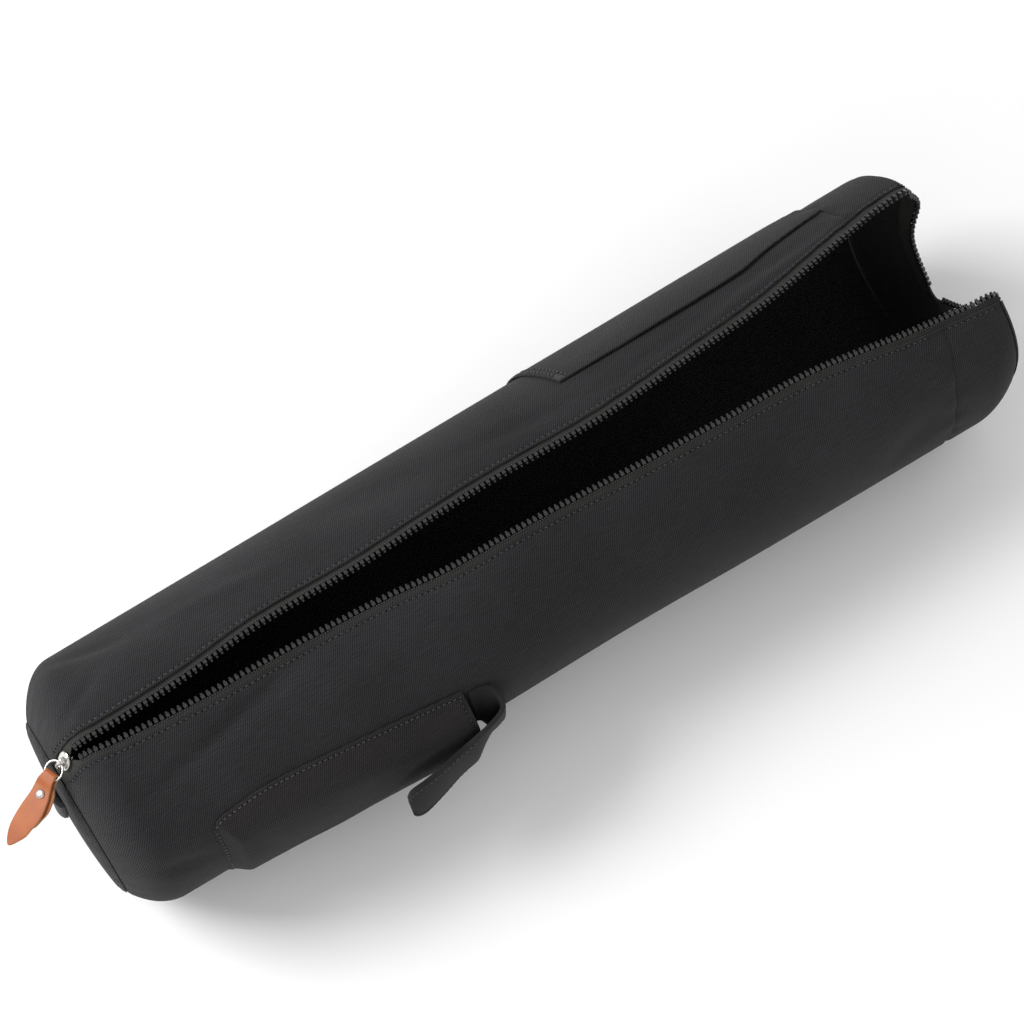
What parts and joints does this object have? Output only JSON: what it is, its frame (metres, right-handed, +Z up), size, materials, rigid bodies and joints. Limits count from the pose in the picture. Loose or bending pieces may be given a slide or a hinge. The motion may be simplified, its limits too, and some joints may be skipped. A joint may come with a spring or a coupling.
{
  "type": "yoga mat bag",
  "caption": "Long round canvas bag lying on its side, with an open zip along its top and down one end, a gusseted pocket, a flat pocket and a leather zip pull.",
  "frame": {"origin": "on the flat strip that the bag rests on, under the middle of its length between the two end seams", "axes": "+X along the bag to its open end, +Y to the side with the flat pocket, +Z up"},
  "size_m": [0.7243, 0.2138, 0.1736],
  "materials": {
    "canvas": "matt black cotton canvas, plain weave",
    "zip_tape": "dark grey woven polyester tape",
    "zip_teeth": "moulded black plastic teeth with bright glints",
    "nickel": "polished nickel plate",
    "tan_leather": "smooth tan leather with raw edges",
    "webbing": "black ribbed webbing"
  },
  "bodies": {
    "root": {"main_panel": "canvas", "end_band": "canvas", "closed_end_panel": "canvas", "open_end_panel": "canvas", "far_zip_tape": "zip_tape", "near_zip_tape": "zip_tape", "far_zip_teeth": "zip_teeth", "near_zip_teeth": "zip_teeth", "zip_slider": "nickel", "pull_ring": "nickel", "leather_pull": "tan_leather", "pull_rivet": "nickel", "side_pocket": "canvas", "pocket_flap": "canvas", "patch_pocket": "canvas", "end_loop": "webbing"}
  },
  "joints": []
}
